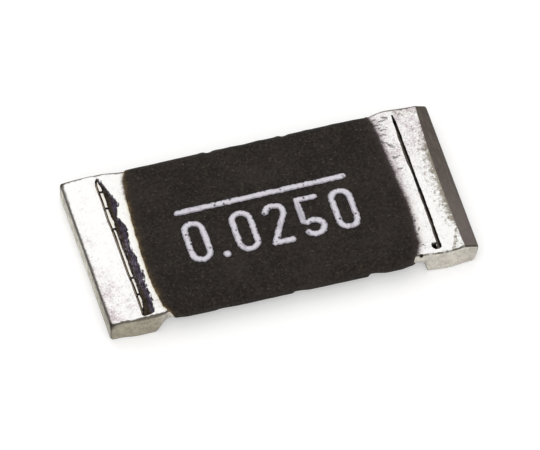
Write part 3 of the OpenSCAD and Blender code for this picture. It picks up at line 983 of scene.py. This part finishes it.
def metal_material():
    """Tin plate: bright and slightly clouded on top, dull on its cut sides, burnt at the welds, with
    painted shade on its bevel, rounded edges, tilted faces, corners and undersides, beside the
    coating's right end and in the weld crack and slit, and painted glints in the torn weld metal.
    """
    n = Nodes("tin_plate")
    bright = (0.715, 0.71, 0.70)
    cloud = (0.44, 0.355, 0.39)
    fleck = (0.19, 0.15, 0.155)
    grime = (0.18, 0.155, 0.115)
    # Painted shade colour beside the coating's right end
    lip_shade = (0.335, 0.293, 0.288)
    film = (0.45, 0.37, 0.19)
    pit = (0.07, 0.055, 0.065)
    # Bevel colours: partly a duller finish, partly painted shade
    bevel_front_shade = (0.230, 0.194, 0.181)
    bevel_back_shade = (0.151, 0.125, 0.111)
    bevel_worn = (0.275, 0.247, 0.207)
    # Painted shade for the rounded edges, tilted faces and the top of the left end face
    edge = (0.092, 0.081, 0.062)
    # Dark stains in random patches and specks, also used as painted shade at corners, undersides and
    # the right end
    stain_and_shade = (0.020, 0.016, 0.012)
    tarnish = (0.20, 0.17, 0.18)
    left_side = (0.410, 0.382, 0.295)
    right_side = (0.665, 0.630, 0.565)
    left_end = (0.75, 0.72, 0.62)
    left_end_front = (0.43, 0.405, 0.325)
    burnt = (0.046, 0.036, 0.025)
    burnt_violet = (0.070, 0.056, 0.080)
    # Painted glint colour for streaks in the torn weld metal
    glint_violet = (0.21, 0.18, 0.24)
    fringe = (0.15, 0.13, 0.20)
    # Painted shade inside the left crack and the right slit
    left_groove_shade = (0.25, 0.21, 0.17)
    right_groove_shade = (0.115, 0.098, 0.086)
    coat_trace = (0.055, 0.045, 0.048)

    grain = n.noise(0.030, 3.0)
    specks = n.noise(0.024, 3.0, 0.65)
    fine = n.noise(0.011, 2.0)
    clumps = n.noise(0.075, 3.0, 0.65)
    patches = n.noise(0.15, 2.0)
    glint_streaks = n.noise(0.020, 2.0, 0.6, stretch=(1.0, 0.22, 1.0))
    rolled = n.noise(0.018, 2.0, 0.6, stretch=(1.0, 0.07, 1.0))
    to_right, _, up = n.split(n.place["Normal"])
    x_at, y_at, z_at = n.split(n.millimetres)
    on_top = n.ramp(up, 0.02, 0.30)

    level = n.jitter(n.jitter(n.mark("mottle"), grain, 1.3), patches, 0.9)
    clouds = n.ramp(level, 0.25, 0.95)
    colour = n.mix(clouds, bright, cloud)
    flecks = n.jitter(n.times(n.mark("mottle"), 0.7), specks, 2.2)
    colour = n.mix(n.ramp(flecks, 0.38, 0.85, 0.0, 0.85), colour, fleck)
    colour = n.mix(n.times(n.mark("film"), n.ramp(grain, 0.3, 0.6, 0.55, 0.95)), colour, film)
    dirt = n.jitter(n.jitter(n.mark("grime"), specks, 1.2), clumps, 1.8)
    colour = n.mix(n.ramp(dirt, 0.28, 0.90, 0.0, 0.90), colour, grime)
    traces = n.ramp(n.jitter(n.jitter(n.mark("smear"), fine, 0.8), specks, 0.8), 0.30, 0.95)
    # Painted shade beside the coating's right end, broken up by noise
    lip_shaded = n.times(n.mark("lip_shade"), n.ramp(n.jitter(grain, clumps, 0.8), 0.30, 0.65, 0.68, 1.0))
    colour = n.mix(lip_shaded, colour, lip_shade)
    colour = n.mix(traces, colour, coat_trace)
    colour = n.mix(n.ramp(n.jitter(n.mark("pit"), fine, 0.4), 0.1, 0.9, 0.0, 0.75), colour, pit)

    # The bevel is partly a duller finish and partly painted shade, lighter at the front than at the
    # back, with lighter rolled streaks of wear over it
    sloped = n.ramp(n.jitter(n.mark("bevel"), specks, 0.5), 0.35, 0.65)
    bevel_shade_and_wear = n.mix(n.ramp(y_at, -1.2, 0.6), bevel_front_shade, bevel_back_shade)
    bevel_shade_and_wear = n.mix(n.ramp(n.jitter(rolled, clumps, 0.5), 0.45, 0.80, 0.0, 0.5), bevel_shade_and_wear, bevel_worn)
    colour = n.mix(n.times(sloped, on_top), colour, bevel_shade_and_wear)

    # Painted shade on tilted faces and along the rounded top edges, broken up in places
    tilted = n.times(n.ramp(up, 0.93, 0.80), on_top)
    shaded_edges = n.math("MAXIMUM", tilted, n.times(n.math("MINIMUM", n.mark("edge"), 1.0), on_top))
    at_front = n.times(n.ramp(x_at, 1.0, 2.0), n.ramp(y_at, 0.5, -0.5))
    at_left = n.ramp(x_at, LEFT_END + 0.12, LEFT_END + 0.09)
    broken = n.times(at_front, n.ramp(clumps, 0.42, 0.62, 0.0, 0.5))
    broken = n.math("MAXIMUM", broken, n.times(at_left, n.ramp(clumps, 0.36, 0.60, 0.02, 0.16)))
    colour = n.mix(n.times(shaded_edges, n.math("SUBTRACT", 0.97, broken)), colour, edge)
    # Painted shade where the edge line thickens at the left-hand corners
    colour = n.mix(n.ramp(n.jitter(n.mark("edge"), specks, 0.8), 1.1, 1.7, 0.0, 0.8), colour, stain_and_shade)

    sides = n.times(n.ramp(up, 0.30, 0.06), n.ramp(up, -0.85, -0.60))
    outward = n.math("ABSOLUTE", to_right)
    side = n.mix(n.ramp(x_at, -COAT_END - 0.12, -COAT_END + 0.10), left_side, right_side)
    end = n.mix(n.ramp(y_at, 0.0, -1.4), left_end, left_end_front)
    # Painted shade: the left end face darkens towards its top
    end = n.mix(n.ramp(n.jitter(z_at, patches, 0.6), 0.10, 0.38, 0.0, 0.45), end, edge)
    # Painted shade on the side faces towards the right end
    side = n.mix(n.ramp(x_at, 2.75, 3.20, 0.0, 0.16), side, stain_and_shade)
    side = n.mix(n.ramp(to_right, -0.3, -0.8), side, end)
    side = n.mix(n.ramp(patches, 0.35, 0.80, 0.0, 0.20), side, stain_and_shade)
    dulled = n.ramp(n.jitter(clumps, grain, 0.8), 0.42, 0.64, 0.0, 0.30)
    side = n.mix(n.times(dulled, n.ramp(x_at, -1.0, 1.0, 1.0, 0.5)), side, tarnish)
    side = n.mix(n.ramp(specks, 0.48, 0.74, 0.0, 0.36), side, stain_and_shade)
    # Painted shade on the rounded upright corners, stronger higher up
    corner = n.times(n.ramp(outward, 0.20, 0.45), n.ramp(outward, 0.98, 0.88))
    side = n.mix(n.times(corner, n.ramp(z_at, 0.05, 0.35, 0.30, 0.70)), side, stain_and_shade)
    # Painted shade on faces turned downwards
    side = n.mix(n.ramp(up, -0.06, -0.40, 0.0, 0.75), side, stain_and_shade)
    # Painted shade at the top corners of the left end
    by_end = n.ramp(x_at, LEFT_END + 0.14, LEFT_END + 0.03)
    by_long_edge = n.ramp(n.math("ABSOLUTE", y_at), HALF_WIDTH - 0.12, HALF_WIDTH - 0.03)
    corner_shade = n.times(by_end, by_long_edge, n.ramp(z_at, 0.22, 0.36))
    side = n.mix(n.times(corner_shade, 0.75), side, stain_and_shade)
    # Painted shade: a dark band under the top edge on the left-hand side faces
    upper = n.ramp(n.jitter(z_at, specks, 0.05), THICKNESS - 0.060, THICKNESS - 0.030)
    upper = n.times(upper, n.ramp(x_at, -COAT_END + 0.10, -COAT_END - 0.10))
    side = n.mix(n.times(upper, 0.85), side, edge)
    colour = n.mix(sides, colour, side)

    # Painted glints: light violet streaks across the middle and front of the torn weld metal, which
    # also thin its darkness
    painted_glint = n.times(n.mark("glint_band"), n.ramp(glint_streaks, 0.50, 0.66))
    scorch = n.mix(n.ramp(n.jitter(n.mark("far"), grain, 1.6), 0.25, 0.85), burnt, burnt_violet)
    thin = n.times(n.ramp(n.mark("tear"), 0.05, 0.30), n.ramp(n.mark("tear"), 0.95, 0.50))
    scorch = n.mix(n.times(thin, 0.85), scorch, fringe)
    scorch = n.mix(n.times(painted_glint, 0.85), scorch, glint_violet)
    torn = n.jitter(n.jitter(n.mark("tear"), fine, 0.9), specks, 0.9)
    torn = n.ramp(n.math("MULTIPLY_ADD", painted_glint, -0.30, torn), 0.22, 0.62)
    colour = n.mix(torn, colour, scorch)
    # Painted shade: the crack and slit are filled with a dark colour, darker on the right
    in_slit = n.ramp(n.jitter(n.mark("slit"), fine, 0.3), 0.25, 0.5)
    groove_shade = n.mix(n.ramp(x_at, -1.0, 1.0), left_groove_shade, right_groove_shade)
    colour = n.mix(in_slit, colour, groove_shade)

    rough = n.math("MULTIPLY_ADD", clouds, 0.14, n.ramp(fine, 0.2, 0.8, 0.27, 0.37))
    rough = n.math("MULTIPLY_ADD", sides, 0.15, rough)
    rough = n.math("MULTIPLY_ADD", torn, 0.2, rough)
    n.fill(n.shader, {"Base Color": colour, "Metallic": 1.0, "Roughness": rough})
    n.bump(n.math("MULTIPLY_ADD", grain, 0.7, fine), 0.0022)
    return n.material


def coat_material():
    """Matt black coating with a brown and olive speckle, a brown left rim and a rosy right one."""
    n = Nodes("black_coating")
    black = (0.0095, 0.0072, 0.0058)
    lighter = (0.0275, 0.0215, 0.0180)
    speck = (0.085, 0.070, 0.057)
    olive = (0.036, 0.033, 0.022)
    rim = (0.205, 0.138, 0.058)
    blush = (0.070, 0.052, 0.050)
    grain = n.noise(0.058, 4.0, 0.68)
    flecks = n.noise(0.036, 2.0, 0.5)
    tint = n.noise(0.11, 2.0)
    patches = n.noise(0.6, 3.0)
    fine = n.noise(0.016, 2.0)
    colour = n.mix(n.ramp(n.jitter(grain, patches, 0.35), 0.36, 0.64), black, lighter)
    colour = n.mix(n.ramp(tint, 0.56, 0.72, 0.0, 0.40), colour, olive)
    colour = n.mix(n.ramp(flecks, 0.60, 0.74, 0.0, 0.75), colour, speck)
    rim_share = n.times(n.mark("rim"), n.ramp(fine, 0.3, 0.7, 0.45, 0.95))
    colour = n.mix(n.times(rim_share, n.ramp(tint, 0.38, 0.60, 0.30, 1.0)), colour, rim)
    colour = n.mix(n.times(n.mark("blush"), n.ramp(tint, 0.38, 0.60, 0.55, 1.0)), colour, blush)
    rough = n.ramp(grain, 0.3, 0.7, 0.50, 0.68)
    n.fill(n.shader, {"Base Color": colour, "Specular IOR Level": 0.10, "Roughness": rough})
    n.bump(n.math("MULTIPLY_ADD", fine, 0.5, grain), 0.006)
    return n.material


def ink_material():
    """Violet-white ink, thin along its outline, with pinholes and faint bands across it."""
    n = Nodes("white_ink")
    pale = (0.68, 0.65, 0.71)
    thin = (0.33, 0.31, 0.36)
    hole = (0.03, 0.025, 0.03)
    grain = n.noise(0.035, 3.0, 0.6)
    patches = n.noise(0.15, 2.0)
    bands = n.noise(0.09, 2.0, stretch=(1.0, 0.12, 1.0))
    body = n.jitter(n.mark("body"), grain, 1.6)
    colour = n.mix(n.ramp(body, 0.15, 1.05), thin, pale)
    colour = n.mix(n.ramp(bands, 0.58, 0.74, 0.0, 0.65), colour, thin)
    holes = n.times(n.ramp(n.cells(0.10), 0.31, 0.14), n.ramp(patches, 0.42, 0.55))
    colour = n.mix(n.times(holes, 0.9), colour, hole)
    rough = n.ramp(grain, 0.3, 0.7, 0.5, 0.7)
    n.fill(n.shader, {"Base Color": colour, "Specular IOR Level": 0.20, "Roughness": rough})
    n.bump(grain, 0.003)
    return n.material


def floor_material():
    """White paper, made plain white where the camera or a reflection sees it lit."""
    n = Nodes("white_floor")
    rays = n.add("ShaderNodeLightPath").outputs
    seen = n.math("MAXIMUM", rays["Is Camera Ray"], rays["Is Glossy Ray"])
    seen = n.math("MAXIMUM", seen, rays["Is Transmission Ray"])
    n.fill(n.shader, {
        "Base Color": (0.80, 0.80, 0.80),
        "Roughness": 0.9,
        "Specular IOR Level": 0.0,
        "Emission Color": (1.0, 1.0, 1.0),
        "Emission Strength": n.times(seen, FLOOR_LIFT),
    })
    return n.material


# Floor, light and camera

FLOOR_HALF = 0.5
FLOOR_GAP = 0.002 * MM
FLOOR_LIFT = 0.32
# Each softbox has a direction, a distance, a width and a height in metres, and the radiance of its face
SOFTBOXES = {
    "back_softbox": ((0.013, 0.647, 0.762), 0.303, 0.25, 0.56, 1.06),
    "front_softbox": ((-0.20, -0.75, 0.63), 0.30, 0.40, 0.40, 1.20),
}
SURROUND_RADIANCE = 0.47

CAMERA_AZIMUTH = math.radians(-15.85)
CAMERA_ELEVATION = math.radians(50.63)
CAMERA_DISTANCE = 300.0
CAMERA_AIM = (0.027, 0.040, 0.067)
PIXELS_PER_MM = 59.52
IMAGE_WIDTH = 540
SENSOR_WIDTH = 36.0


def make_floor():
    corners = [(-1, -1), (1, -1), (1, 1), (-1, 1)]
    points = [(x * FLOOR_HALF, y * FLOOR_HALF, -FLOOR_GAP) for x, y in corners]
    mesh = bpy.data.meshes.new("floor")
    mesh.from_pydata(points, [], [(0, 1, 2, 3)])
    mesh.materials.append(floor_material())
    floor = add_object("floor", mesh)


def make_light():
    for name, (towards, distance, width, height, radiance) in SOFTBOXES.items():
        light = bpy.data.lights.new(name, "AREA")
        light.shape = "RECTANGLE"
        light.size = width
        light.size_y = height
        light.energy = radiance * math.pi * width * height
        lamp = add_object(name, light)
        direction = Vector(towards).normalized()
        lamp.location = direction * distance
        lamp.rotation_euler = direction.to_track_quat("Z", "Y").to_euler()
        lamp.visible_camera = False
    world = bpy.data.worlds.new("studio")
    world.use_nodes = True
    surround = world.node_tree.nodes["Background"]
    surround.inputs["Color"].default_value = (1.0, 0.99, 0.97, 1.0)
    surround.inputs["Strength"].default_value = SURROUND_RADIANCE
    bpy.context.scene.world = world


def make_camera():
    right = Vector((math.cos(CAMERA_AZIMUTH), math.sin(CAMERA_AZIMUTH), 0.0))
    level = math.cos(CAMERA_ELEVATION)
    back = Vector((
        math.sin(CAMERA_AZIMUTH) * level,
        -math.cos(CAMERA_AZIMUTH) * level,
        math.sin(CAMERA_ELEVATION),
    ))
    up = back.cross(right)
    eye = (Vector(CAMERA_AIM) + back * CAMERA_DISTANCE) * MM
    lens = bpy.data.cameras.new("camera")
    lens.sensor_fit = "HORIZONTAL"
    lens.sensor_width = SENSOR_WIDTH
    lens.lens = PIXELS_PER_MM * CAMERA_DISTANCE * SENSOR_WIDTH / IMAGE_WIDTH
    lens.clip_start = 0.01
    camera = add_object("camera", lens)
    axes = Matrix((right, up, back)).transposed().to_4x4()
    camera.matrix_world = Matrix.Translation(eye) @ axes
    bpy.context.scene.camera = camera


bpy.context.scene.view_settings.view_transform = "Standard"
make_camera()
make_floor()
make_light()
tin = metal_material()
left_terminal(tin)
right_terminal(tin)
element(tin)
coating(coat_material())
marking(ink_material())

bpy.context.view_layer.update()
